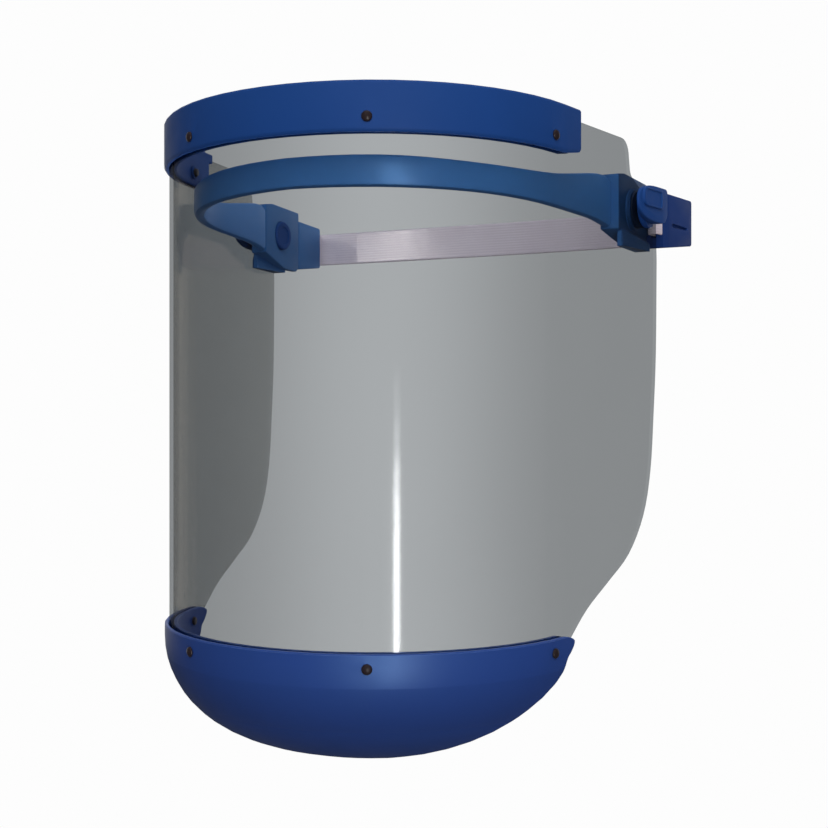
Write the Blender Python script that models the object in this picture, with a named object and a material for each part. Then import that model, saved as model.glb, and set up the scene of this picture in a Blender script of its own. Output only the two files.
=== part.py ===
"""Helmet-mounted face shield: a tinted sheet bent round one arc, riveted to a brow band
and a chin guard, tilting on two knobs at the ends of a carrier bow.

Frame: the origin is the middle of the tilt axis, -Y is the front, +Z is up, metres.
"""
import math

import bmesh
import bpy
from mathutils import Matrix, Vector

MM = 0.001
GAP = 0.3                     # clearance between two pieces that seat on each other

# ---- visor sheet (millimetres from here on) ----
SHEET = 2.0                   # thickness of the polycarbonate
BEND_RADIUS = 108.3           # outer face of the front bend
FLARE = math.radians(9.0)     # each side opens outwards by this angle
PIVOT_DEPTH = 180.0           # tilt axis behind the front of the sheet
VISOR_TOP = 33.3              # top edge above the tilt axis
VISOR_HEIGHT = 260.0
EAR_MARGIN = 14.15            # sheet behind the tilt axis, measured along the sheet
EAR_TOP = 1.5                 # upper corner of the ear
EAR_BOTTOM = -26.0            # where the side edge leaves the ear
EAR_CORNER = 14.0             # radius
SHOULDER_MARGIN = 18.85       # top edge ends this far ahead of the axis
SHOULDER_BOTTOM = 15.5
SHOULDER_CORNER = 8.0         # radius
VISOR_CORNER = 9.0            # cut across each lower corner
EDGE_SLOPE = 1.5              # lean of the ear's upright edges
FACET = math.radians(6.0)     # one flat facet of every bent piece

# ---- rivets ----
RIVET_MARGIN = 18.0           # outermost rivets, from the ends of the chin guard
RIVET_SHANK = 3.0
RIVET_HEAD = 5.0
RIVET_HOLE = 3.8
BROW_RIVET_DROP = 11.3        # brow row, below the sheet's top edge
CHIN_RIVET_RISE = 6.2         # chin row, above the sheet's bottom edge
WASHER = 7.0
WASHER_THICKNESS = 0.8

# ---- brow band ----
BROW_RISE = 4.9               # above the sheet's top edge
BROW_DROP = 17.7              # below the sheet's top edge
BROW_OVERRUN = 14.7           # runs this far past the front bend
BROW_WALL = 2.3
BROW_RIM = 1.6                # its edges are rounded over this height
BROW_LIP = 1.8                # inner wall, as tall as the outer one
BROW_WEB = 2.4
BROW_NOTCH = 12.5             # length of the cut-back lower corner
BROW_NOTCH_RISE = 2.2
BROW_STEP = (4.5, 5.0)        # inner wall's end below its top corner: length, depth

# ---- chin guard ----
CHIN_RISE = 12.7              # above the sheet's bottom edge
CHIN_WALL = 2.0
CHIN_LIP = 1.8
CHIN_WEB = 4.0                # under the groove
CHIN_OVERRUN = 8.9            # runs this far past the front bend
BOWL_RISE = 7.2               # the wall starts to curve in this far above the sheet's bottom
BOWL_DEPTH = 56.0
BOWL_INSET = 85.0
BOWL_EXPONENT = 2.6           # of the bowl's outline
BOWL_ANGLE = math.radians(70.0)            # part of the outline that the bowl uses
BOWL_WALL = 2.4
BOWL_SLOPE = 1.12             # the cut rear edge runs this far forward for each step down

# ---- carrier bow ----
BOW_SETBACK = 16.4            # bow's front behind the sheet's front
ARM_INSET = 7.88              # outer face of the arms, inside the sheet's outer face
BOW_THICKNESS = 6.0
BOW_TOP = 9.5
BOW_BOTTOM = -4.7
ARM_TOP = 12.8                # at the bracket
ARM_BOTTOM = -11.3
TONGUE_LENGTH = 13.0
TONGUE_HEIGHT = 17.0
TONGUE_THICKNESS = 2.8

# ---- pivot brackets ----
BRACKET_FRONT = -22.0
BRACKET_REAR = 27.0
BRACKET_TOP = 17.7
BRACKET_BOTTOM = -19.4
BRACKET_SETBACK = 7.2         # outer face at the tilt axis, inside the sheet's outer face
BOSS_DIAMETER = 22.0
BOSS_HEIGHT = 2.2
LUG_TOP = -12.0               # foot on the bracket's outer face
LUG_BOTTOM = -21.0
LUG_FRONT = -19.0
LUG_LENGTH = 31.0

# ---- pivot hardware ----
STUD_DIAMETER = 6.0
STUD_HOLE = 6.8
STUD_HEAD = 17.0
STUD_HEAD_DEPTH = 8.9         # inner face of the head, from the bracket's outer face
STUD_HEAD_THICKNESS = 3.6
HUB_DIAMETER = 20.0
WEDGE_RISE = 2.4              # outer washer at the tilt axis, outside the sheet
FRICTION_WASHER = 12.0
FRICTION_THICKNESS = 0.6
TIP_DIAMETER = 4.0            # threaded end of the stud
TIP_HOLE = 4.6
TIP_LENGTH = 3.0
KNOB_TOP = 11.1
KNOB_BOTTOM = -7.8
KNOB_REACH = 24.0             # lever end, forward of the axis
KNOB_HEEL = 10.0              # behind the axis
KNOB_EDGE = 1.4               # thickness at the lever end
KNOB_EXPONENT = 2.5           # of the lever's outline
PAD_FRONT = -20.0             # raised thumb pad
PAD_REAR = 3.0
PAD_TOP = 9.0
PAD_BOTTOM = -0.6
PAD_RISE = 1.1
DISH_SHARE = 0.82             # of the pad, sunk

# ---- strap blocks and strap ----
BLOCK_LENGTH = 35.0
BLOCK_TOP = 12.7
BLOCK_FRONT_BOTTOM = -17.5
BLOCK_REAR_BOTTOM = -13.0
BLOCK_THICKNESS = 12.6
BLOCK_CHAMFER = (5.5, 0.8)    # front outer edge, length and depth
LAP_LENGTH = 13.0             # bracket's tail inside the block
LAP_THICKNESS = 1.8
LAP_SKIN = 1.2                # block's wall over it
LAP_TOP = 7.7
LAP_BOTTOM = -10.0
STRAP_HEIGHT = 20.4
STRAP_THICKNESS = 1.5
STRAP_CENTRE = -0.5
STRAP_BEND = 4.0
STRAP_FRONT = 20.5            # fold at each end, ahead of the block
HEM_RADIUS = 2.6              # of the fold
SLOT_WIDTH = 3.0
SLOT_CLEARANCE = 1.0          # above and below the strap
PIN_DIAMETER = 3.0

# ---- worked out from the sizes above ----
SIDE_ANGLE = math.pi / 2 - FLARE
BEND_HALF = BEND_RADIUS * SIDE_ANGLE
BEND_CENTRE = BEND_RADIUS - PIVOT_DEPTH
VISOR_BOTTOM = VISOR_TOP - VISOR_HEIGHT
AXIS_STATION = BEND_HALF + (BEND_RADIUS * math.sin(FLARE) - BEND_CENTRE) / math.cos(FLARE)
EAR_EDGE = AXIS_STATION + EAR_MARGIN       # half width along the sheet at the ears
UPPER_EDGE = AXIS_STATION - SHOULDER_MARGIN
BROW_END = BEND_HALF + BROW_OVERRUN        # half length along the sheet
BROW_TOP = VISOR_TOP + BROW_RISE
BROW_BOTTOM = VISOR_TOP - BROW_DROP
BROW_RIVETS = VISOR_TOP - BROW_RIVET_DROP
CHIN_END = BEND_HALF + CHIN_OVERRUN        # half length along the sheet
CHIN_TOP = VISOR_BOTTOM + CHIN_RISE
CHIN_RIVETS = VISOR_BOTTOM + CHIN_RIVET_RISE
BOWL_START = VISOR_BOTTOM + BOWL_RISE
RIVET_SPACING = (CHIN_END - RIVET_MARGIN) * 2 / 3
BOW_RADIUS = BEND_RADIUS - (ARM_INSET - BOW_SETBACK * math.sin(FLARE)) / (1 - math.sin(FLARE))
BOW_HALF = BOW_RADIUS * SIDE_ANGLE
BOW_CENTRE = BOW_RADIUS + BOW_SETBACK - PIVOT_DEPTH
INNER_LIP = -(SHEET + GAP)    # outer face of anything that clasps the sheet's inside
WEB_BOTTOM = VISOR_TOP + GAP
GROOVE_FLOOR = VISOR_BOTTOM - GAP
ARM_INNER = ARM_INSET + BOW_THICKNESS      # inner face of the arms, inside the sheet
SHEET_FACE = (BEND_RADIUS - BEND_CENTRE * math.sin(FLARE)) / math.cos(FLARE)   # at the axis
BRACKET_FACE = SHEET_FACE - BRACKET_SETBACK              # square to the tilt axis
STUD_HEAD_FACE = BRACKET_FACE - STUD_HEAD_DEPTH
WEDGE_FACE = SHEET_FACE + WEDGE_RISE
LAP_INSET = ARM_INNER - LAP_SKIN - GAP     # inner face of the bracket's tail
SLOT_OFFSET = LAP_SKIN + LAP_THICKNESS + 2 * GAP + 2.4   # strap's middle, from the block's inner face
BLOCK_FRONT = BRACKET_REAR + GAP
BLOCK_REAR = BLOCK_FRONT + BLOCK_LENGTH
KNOB_FACE = WEDGE_FACE + GAP
HUB_FACE = BRACKET_FACE + BOSS_HEIGHT + GAP
FACETS = round(SIDE_ANGLE / FACET)


# ---------------------------------------------------------------- outlines

def plan(s, offset=0.0, radius=BEND_RADIUS, centre=BEND_CENTRE):
    """Point and outward normal, s along a bent outline from its front."""
    turn = max(-SIDE_ANGLE, min(SIDE_ANGLE, s / radius))
    normal = Vector((math.sin(turn), -math.cos(turn)))
    along = Vector((math.cos(turn), math.sin(turn)))
    rest = s - turn * radius
    return Vector((0.0, centre)) + normal * (radius + offset) + along * rest, normal


def side_x(y, inset):
    """Where the flared side, moved inwards by inset, crosses the depth y."""
    corner = plan(BEND_HALF)[0]
    return corner.x + (y - corner.y) * math.tan(FLARE) - inset / math.cos(FLARE)


def stations(half, extra=(), radius=BEND_RADIUS):
    """Places along an outline: one at each facet of the bend, then the extra ones."""
    bend = [radius * SIDE_ANGLE * i / FACETS for i in range(FACETS + 1)]
    right = [s for s in bend if s < half] + [s for s in extra if s < half] + [half]
    return [-s for s in reversed(right) if s > 0] + right


def smooth(points, steps=5):
    """Catmull-Rom curve through the points."""
    ends = [2 * Vector(points[0]) - Vector(points[1])]
    tail = [2 * Vector(points[-1]) - Vector(points[-2])]
    knots = ends + [Vector(p) for p in points] + tail
    curve = []
    for a, b, c, d in zip(knots, knots[1:], knots[2:], knots[3:]):
        for i in range(steps):
            t = i / steps
            curve.append(0.5 * (2 * b + (c - a) * t + (2 * a - 5 * b + 4 * c - d) * t ** 2
                                + (3 * b - a - 3 * c + d) * t ** 3))
    return curve + [Vector(points[-1])]


def value_at(curve, x):
    """Second coordinate of a curve where the first is x."""
    for a, b in zip(curve, curve[1:]):
        if a.x <= x <= b.x:
            return a.y + (b.y - a.y) * (x - a.x) / (b.x - a.x)
    return curve[-1].y


def rounded(corners, step=math.radians(18)):
    """Closed outline from corners (x, y, radius), each round corner as an arc."""
    outline = []
    for i, (x, y, radius) in enumerate(corners):
        here = Vector((x, y))
        back = (Vector(corners[i - 1][:2]) - here).normalized()
        ahead = (Vector(corners[(i + 1) % len(corners)][:2]) - here).normalized()
        if radius == 0:
            outline.append(here)
            continue
        half = back.angle(ahead) / 2
        centre = here + (back + ahead).normalized() * radius / math.sin(half)
        first = here + back * radius / math.tan(half) - centre
        last = here + ahead * radius / math.tan(half) - centre
        count = max(2, math.ceil((math.pi - 2 * half) / step))
        for k in range(count + 1):
            outline.append(centre + arc_point(first, last, k / count))
    return outline


def arc_point(first, last, t):
    """Point on the short arc from first to last, both measured from its centre."""
    turn = math.atan2(first.cross(last), first.dot(last))
    return Matrix.Rotation(turn * t, 2) @ first


# ---------------------------------------------------------------- meshes

def material(name, colour, roughness, metallic=0.0):
    """Principled material in one colour."""
    made = bpy.data.materials.get(name) or bpy.data.materials.new(name)
    made.use_nodes = True
    shader = made.node_tree.nodes["Principled BSDF"]
    shader.inputs["Base Color"].default_value = (*colour, 1.0)
    shader.inputs["Roughness"].default_value = roughness
    shader.inputs["Metallic"].default_value = metallic
    made.diffuse_color = (*colour, 1.0)
    return made


def finish(name, bm, look=None, smooth_angle=math.radians(30)):
    """Turn a bmesh in millimetres into a named object in metres."""
    bmesh.ops.scale(bm, vec=(MM, MM, MM), verts=bm.verts)
    bmesh.ops.recalc_face_normals(bm, faces=bm.faces)
    mesh = bpy.data.meshes.new(name)
    bm.to_mesh(mesh)
    bm.free()
    mesh.shade_smooth()
    mesh.set_sharp_from_angle(angle=smooth_angle)
    made = bpy.data.objects.new(name, mesh)
    bpy.context.scene.collection.objects.link(made)
    if look is None:
        made.hide_render = True
        made.display_type = "WIRE"
    else:
        mesh.materials.append(look)
    return made


def loft(rings):
    """Closed solid through rings that have equal numbers of points."""
    bm = bmesh.new()
    loops = [[bm.verts.new(p) for p in ring] for ring in rings]
    for near, far in zip(loops, loops[1:]):
        for i in range(len(near)):
            j = (i + 1) % len(near)
            bm.faces.new((near[i], near[j], far[j], far[i]))
    bm.faces.new(reversed(loops[0]))
    bm.faces.new(loops[-1])
    return bm


def section(points, s, **bend):
    """Place a cross-section of (outward offset, height) points across the outline at s."""
    ring = []
    for offset, z in points:
        at, _ = plan(s, offset, **bend)
        ring.append((at.x, at.y, z))
    return ring


def square_off(ring, y):
    """Slide a ring on a flared side along that side until it lies at one depth."""
    return [(p[0] + math.copysign((y - p[1]) * math.tan(FLARE), p[0]), y, p[2]) for p in ring]


def side_prism(outline, inner, outer, side=1):
    """Extrude a (y, z) outline between two faces whose x depends on y."""
    return loft([[(side * face(y), y, z) for y, z in outline] for face in (inner, outer)])


def level(x):
    """A face square to the tilt axis."""
    return lambda y: x


def flared(inset):
    """A face parallel to the flared side of the sheet."""
    return lambda y: side_x(y, inset)


def turned(profile, segments=24):
    """Revolve a closed (radius, height) profile about Z."""
    rings = []
    for i in range(segments):
        turn = 2 * math.pi * i / segments
        rings.append([(r * math.cos(turn), r * math.sin(turn), h) for r, h in profile])
    bm = bmesh.new()
    loops = []
    for ring in rings:
        loops.append([bm.verts.new(p) for p in ring])
    count = len(profile)
    for a, b in zip(loops, loops[1:] + loops[:1]):
        for i in range(count):
            j = (i + 1) % count
            bm.faces.new((a[i], a[j], b[j], b[i]))
    bmesh.ops.remove_doubles(bm, verts=bm.verts, dist=1e-5)
    bmesh.ops.dissolve_degenerate(bm, edges=bm.edges, dist=1e-5)
    return bm


def on_axis(bm, side, x=0.0):
    """Turn a solid built along Z to lie along the tilt axis, heights outwards."""
    bmesh.ops.rotate(bm, matrix=Matrix.Rotation(side * math.pi / 2, 3, "Y"), verts=bm.verts)
    bmesh.ops.translate(bm, vec=(side * x, 0, 0), verts=bm.verts)
    return bm


def rod(diameter, start, end, side=1, segments=24):
    """Round bar along the tilt axis."""
    r = diameter / 2
    return on_axis(turned([(0, start), (r, start), (r, end), (0, end)], segments), side)


def cut(target, cutter):
    """Take the cutter's shape out of the target."""
    step = target.modifiers.new("cut", "BOOLEAN")
    step.operation = "DIFFERENCE"
    step.solver = "EXACT"
    step.object = cutter


def soften(target, width, segments=2):
    """Round the moulded edges."""
    step = target.modifiers.new("edges", "BEVEL")
    step.width = width * MM
    step.segments = segments
    step.limit_method = "ANGLE"
    step.angle_limit = math.radians(40)


def merge(bm, other):
    """Add a second closed shell to a bmesh."""
    spare = bpy.data.meshes.new("spare")
    other.to_mesh(spare)
    other.free()
    bm.from_mesh(spare)
    bpy.data.meshes.remove(spare)
    return bm


def join(target, extra):
    """Boolean union of a helper shape into the target."""
    step = target.modifiers.new("join", "BOOLEAN")
    step.operation = "UNION"
    step.solver = "EXACT"
    step.object = extra


# ---------------------------------------------------------------- rivets

def rivet_places():
    """Four places along the sheet, evenly spaced about the front."""
    return [(i - 1.5) * RIVET_SPACING for i in range(4)]


def along_rivet(bm, s, z):
    """Move a solid built along Z to point out of the sheet at s, z."""
    at, normal = plan(s)
    across = Vector((-normal.y, normal.x, 0.0))
    out = Vector((normal.x, normal.y, 0.0))
    turn = Matrix((across, Vector((0, 0, 1)), out)).transposed()
    place = Matrix.Translation((at.x, at.y, z)) @ turn.to_4x4()
    bmesh.ops.transform(bm, matrix=place, verts=bm.verts)
    return bm


def rivet_holes(name, z):
    """Cutters for one row of holes."""
    whole = bmesh.new()
    r, reach = RIVET_HOLE / 2, 3 * SHEET
    for s in rivet_places():
        hole = turned([(0, -reach), (r, -reach), (r, reach), (0, reach)], 12)
        merge(whole, along_rivet(hole, s, z))
    return finish(name, whole)


def fastener_row(name, profile, z, look, segments=14):
    """The same turned piece at each of the four rivet places."""
    return [finish(f"{name}_{i + 1}", along_rivet(turned(profile, segments), s, z), look)
            for i, s in enumerate(rivet_places())]


def rivet(seat, inside):
    """Profile of a push rivet: domed head outside, shank, spread tail inside."""
    head, shank = RIVET_HEAD / 2, RIVET_SHANK / 2
    tail = shank + 0.9
    outer = seat + GAP
    inner = inside - GAP
    return [(0, outer + 1.3), (head * 0.55, outer + 1.1), (head * 0.88, outer + 0.6),
            (head, outer), (shank, outer), (shank, inner), (tail, inner),
            (tail * 0.8, inner - 1.1), (0, inner - 1.3)]


# ---------------------------------------------------------------- tilting pieces

def visor_outline():
    """Right half of the flat sheet, from the top corner round to the bottom corner."""
    rear = rounded([(0, VISOR_TOP, 0), (UPPER_EDGE - EDGE_SLOPE, VISOR_TOP, SHOULDER_CORNER),
                    (UPPER_EDGE + EDGE_SLOPE, SHOULDER_BOTTOM, SHOULDER_CORNER * 0.75),
                    (EAR_EDGE - EDGE_SLOPE, EAR_TOP, EAR_CORNER),
                    (EAR_EDGE, EAR_BOTTOM, 0), (0, EAR_BOTTOM, 0)])[1:-1]
    # (share of the way forward to the chin guard, share of the way up to the ear)
    sweep = [(0.0, 1.0), (0.01, 0.756), (0.04, 0.589), (0.08, 0.4395), (0.17, 0.3224), (0.35, 0.2277),
             (0.6, 0.1654), (0.83, 0.1106), (1.02, 0.0448)]
    reach, rise = EAR_EDGE - CHIN_END, EAR_BOTTOM - VISOR_BOTTOM
    lower = smooth([(EAR_EDGE - reach * ahead, VISOR_BOTTOM + rise * up) for ahead, up in sweep], 4)
    return [(p[0], p[1]) for p in rear[:-1] + lower] + [(CHIN_END - VISOR_CORNER, VISOR_BOTTOM)]


def visor_window(look):
    half = visor_outline()
    outline = half + [(-s, z) for s, z in reversed(half)]
    bm = bmesh.new()
    face = bm.faces.new([bm.verts.new((s, 0.0, z)) for s, z in outline])
    sheet = bmesh.ops.extrude_face_region(bm, geom=[face])["geom"]
    bmesh.ops.translate(bm, vec=(0, SHEET, 0), verts=[v for v in sheet if isinstance(v, bmesh.types.BMVert)])
    for s in stations(BEND_HALF + 1e-3)[1:-1]:
        bmesh.ops.bisect_plane(bm, geom=bm.verts[:] + bm.edges[:] + bm.faces[:], dist=1e-4,
                               plane_co=(s, 0, 0), plane_no=(1, 0, 0))
    for vert in bm.verts:
        at, _ = plan(vert.co.x, -vert.co.y)
        vert.co = (at.x, at.y, vert.co.z)
    visor = finish("visor_window", bm, look)
    cut(visor, rivet_holes("brow_holes", BROW_RIVETS))
    cut(visor, rivet_holes("chin_holes", CHIN_RIVETS))
    for side in (1, -1):
        cut(visor, finish("ear_hole", rod(STUD_HOLE, HUB_FACE, KNOB_FACE, side)))
    return visor


def brow_band(look):
    """Channel over the sheet's top edge, its lower corners cut back."""
    outer = GAP + BROW_WALL
    lip = INNER_LIP - BROW_LIP

    def across(s):
        rise = BROW_NOTCH_RISE * max(0.0, min(1.0, (abs(s) - BROW_END + BROW_NOTCH) / BROW_NOTCH))
        low = BROW_BOTTOM + rise
        ends = abs(s) > BROW_END - BROW_STEP[0] + GAP / 2
        inner_low = WEB_BOTTOM + BROW_WEB - BROW_STEP[1] if ends else low
        return [(GAP, low), (outer - 0.9, low), (outer - 0.25, low + BROW_RIM / 2),
                (outer, low + BROW_RIM), (outer, BROW_TOP - 0.9), (outer - 0.7, BROW_TOP),
                (GAP, BROW_TOP), (GAP, WEB_BOTTOM + BROW_WEB), (lip + 0.5, WEB_BOTTOM + BROW_WEB),
                (lip, WEB_BOTTOM + BROW_WEB - 0.6), (lip, inner_low + BROW_RIM / 2),
                (lip + 0.5, inner_low), (INNER_LIP, inner_low), (INNER_LIP, WEB_BOTTOM),
                (GAP, WEB_BOTTOM)]

    step = BROW_END - BROW_STEP[0]
    places = stations(BROW_END, (BROW_END - BROW_NOTCH, step, step + GAP))
    band = finish("brow_band", loft([section(across(s), s) for s in places]), look)
    cut(band, rivet_holes("brow_band_holes", BROW_RIVETS))
    return band


def bowl_curve(steps):
    """Outer face of the bowl in section, and the same curve moved in by its wall."""
    outer, inner = [], []
    for i in range(steps + 1):
        a = BOWL_ANGLE * i / steps
        inset = BOWL_INSET * (1 - math.cos(a) ** (2 / BOWL_EXPONENT))
        outer.append(Vector((GAP + CHIN_WALL - inset, BOWL_START - BOWL_DEPTH * math.sin(a))))
    for before, here, after in zip(outer[:1] + outer, outer, outer[1:] + outer[-1:]):
        along = (after - before).normalized()
        inner.append(here + Vector((along.y, -along.x)) * BOWL_WALL)
    return outer, inner


def chin_guard(look):
    """Wall with a groove for the sheet, running into a bowl that is cut off on a slope."""
    lip = INNER_LIP - CHIN_LIP
    outer, inner = bowl_curve(12)
    inner = [p for p in reversed(inner) if p.y < GROOVE_FLOOR - CHIN_WEB]
    profile = [(GAP + 0.5, CHIN_TOP), (GAP + CHIN_WALL - 0.5, CHIN_TOP),
               (GAP + CHIN_WALL, CHIN_TOP - 0.6)] + [(p.x, p.y) for p in outer + inner]
    profile += [(lip, GROOVE_FLOOR - 1.5), (lip, CHIN_TOP), (INNER_LIP, CHIN_TOP),
                (INNER_LIP, GROOVE_FLOOR), (GAP, GROOVE_FLOOR), (GAP, CHIN_TOP - 0.5)]
    guard = finish("chin_guard", loft([section(profile, s) for s in stations(CHIN_END + 3.0)]), look)
    cut(guard, rivet_holes("chin_guard_holes", CHIN_RIVETS))
    cut(guard, chin_rear_cutter())
    return guard


def chin_rear_cutter():
    """Everything behind the guard's rear edge: a round corner, a hollow end, then the slope."""
    end = plan(CHIN_END)[0].y
    # (behind the end, below the top)
    edge = smooth([(end + y, CHIN_TOP + z) for y, z in
                   [(-10.0, 0.3), (-4.0, -1.0), (-0.3, -2.9), (-1.2, -5.5), (-3.4, -8.0),
                    (-6.4, -10.8), (-8.0, -15.5), (-12.0, -21.0)]], 3)
    corner = edge[-1]
    deep = BOWL_DEPTH + 10.0
    outline = [(p.x, p.y) for p in edge]
    outline += [(corner.x - BOWL_SLOPE * deep, corner.y - deep), (end + 20.0, corner.y - deep),
                (end + 20.0, CHIN_TOP + 1.0)]
    wide = 2 * BEND_RADIUS
    return finish("chin_rear_cut", side_prism(outline, level(-wide), level(wide)))


def wedge(name, inner, outer, diameter, look, side):
    """Round washer between two faces, either of which may be flared."""
    r = diameter / 2
    circle = [(r * math.cos(2 * math.pi * i / 28), r * math.sin(2 * math.pi * i / 28)) for i in range(28)]
    washer = finish(name, side_prism(circle, inner, outer, side), look)
    cut(washer, finish(name + "_bore", rod(STUD_HOLE, BRACKET_FACE, KNOB_FACE, side)))
    return washer


# ---------------------------------------------------------------- carrier

def arm_station(y):
    """Distance along the carrier bow where its arms reach the depth y."""
    corner = plan(BOW_HALF, 0, BOW_RADIUS, BOW_CENTRE)[0]
    return BOW_HALF + (y - corner.y) / math.cos(FLARE)


def arm_section(top, bottom, outer=0.0, inner=-BOW_THICKNESS, upper=1.2, lower=2.4):
    """Strap section of the bow with softened corners."""
    ring = rounded([(outer, bottom, lower), (outer, top, upper), (inner, top, upper),
                    (inner, bottom, lower)], math.radians(45))
    return [(p.x, p.y) for p in ring]


def tongue(clearance):
    """Cross-section of the arm's tongue, or of its pocket."""
    middle = (ARM_TOP + ARM_BOTTOM) / 2
    half = TONGUE_HEIGHT / 2 + clearance
    mid = -BOW_THICKNESS / 2
    thick = TONGUE_THICKNESS / 2 + clearance
    return arm_section(middle + half, middle - half, mid + thick, mid - thick, 0.6, 0.6)


def carrier_bow(look):
    """Front arc and two arms that deepen towards the brackets, each ending in a tongue."""
    bend = {"radius": BOW_RADIUS, "centre": BOW_CENTRE}
    end = arm_station(BRACKET_FRONT - GAP)
    # (share of the way from the front to the arm's end, height)
    top = smooth([(0, BOW_TOP), (0.25, BOW_TOP - 0.5), (0.42, BOW_TOP - 2.0), (0.56, BOW_TOP - 2.6),
                  (0.66, BOW_TOP - 2.2), (0.73, BOW_TOP - 1.0), (0.82, ARM_TOP - 1.6),
                  (0.89, ARM_TOP + 0.6), (0.95, ARM_TOP + 2.0), (0.98, ARM_TOP + 1.5), (1, ARM_TOP)], 3)
    bottom = smooth([(0, BOW_BOTTOM), (0.42, BOW_BOTTOM - 1.3), (0.68, BOW_BOTTOM - 2.8),
                     (0.9, ARM_BOTTOM + 2.5), (0.97, ARM_BOTTOM + 1.0), (1, ARM_BOTTOM)], 4)
    spans = [BOW_HALF + (end - BOW_HALF) * i / 9 for i in range(1, 9)]
    rings = []
    for s in stations(end, spans, BOW_RADIUS):
        share = abs(s) / end
        rings.append(section(arm_section(value_at(top, share), value_at(bottom, share)), s, **bend))
    level_end = BRACKET_FRONT - GAP
    for first in (0, -1):
        rings[first] = square_off(rings[first], level_end)
    for s in (-end, end):
        root = square_off(section(tongue(0.0), s, **bend), level_end)
        tip = section(tongue(0.0), s + math.copysign(TONGUE_LENGTH, s), **bend)
        rings = [tip, root] + rings if s < 0 else rings + [root, tip]
    return finish("carrier_bow", loft(rings), look)


def bracket_outline():
    """Side view of a pivot bracket without its tail."""
    return rounded([(BRACKET_FRONT, BRACKET_TOP - 1.6, 0.8), (BRACKET_FRONT + 10, BRACKET_TOP, 8),
                    (BRACKET_REAR, BRACKET_TOP, 1.5), (BRACKET_REAR, BRACKET_BOTTOM + 2.5, 1.5),
                    (BRACKET_REAR - 4, BRACKET_BOTTOM, 2), (BRACKET_FRONT + 27, BRACKET_BOTTOM, 8),
                    (BRACKET_FRONT + 15, BRACKET_BOTTOM + 3.0, 8), (BRACKET_FRONT, ARM_BOTTOM - 1, 0.8)],
                   math.radians(30))


def bracket_lug(side):
    """Foot under a bracket, its outer edge just inside the sheet."""
    rings = []
    for y in (LUG_FRONT, LUG_FRONT + LUG_LENGTH):
        edge = side_x(y, SHEET + 3 * GAP)
        root = BRACKET_FACE - 2
        outline = [(root, LUG_TOP), (BRACKET_FACE + 0.2, LUG_TOP), (edge, LUG_BOTTOM + 4),
                   (edge, LUG_BOTTOM), (root, LUG_BOTTOM)]
        rings.append([(side * x, y, z) for x, z in outline])
    return loft(rings)


def lap_outline(start, clearance):
    """Side view of the bracket's tail, or of its pocket in the strap block."""
    return [(start, LAP_TOP + clearance), (BRACKET_REAR + LAP_LENGTH + clearance, LAP_TOP + clearance),
            (BRACKET_REAR + LAP_LENGTH + clearance, LAP_BOTTOM - clearance),
            (start, LAP_BOTTOM - clearance)]


def pivot_bracket(side, look):
    """Wedge-shaped moulding: flush with the arm inside, square to the tilt axis outside."""
    name = "pivot_bracket_" + SIDES[side]
    inner = flared(ARM_INNER)
    bracket = finish(name, side_prism(bracket_outline(), inner, level(BRACKET_FACE), side), look)
    soften(bracket, 0.6)
    tail = side_prism(lap_outline(BRACKET_REAR - 6, 0.0), flared(LAP_INSET),
                      flared(LAP_INSET - LAP_THICKNESS), side)
    join(bracket, finish(name + "_tail", tail))
    join(bracket, finish(name + "_lug", bracket_lug(side)))
    boss = rod(BOSS_DIAMETER, BRACKET_FACE - 2, BRACKET_FACE + BOSS_HEIGHT, side, 32)
    join(bracket, finish(name + "_boss", boss))
    bend = {"radius": BOW_RADIUS, "centre": BOW_CENTRE}
    start = arm_station(BRACKET_FRONT - 2)
    end = arm_station(BRACKET_FRONT) + TONGUE_LENGTH + GAP
    pocket = loft([section(tongue(GAP), side * s, **bend) for s in (start, end)])
    cut(bracket, finish(name + "_pocket", pocket))
    cut(bracket, finish(name + "_bore", rod(STUD_HOLE, STUD_HEAD_FACE, KNOB_FACE, side)))
    seat = STUD_HEAD_FACE + STUD_HEAD_THICKNESS + GAP
    cut(bracket, finish(name + "_seat", rod(STUD_HEAD + 2 * GAP, seat - 10, seat, side, 32)))
    return bracket


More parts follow.
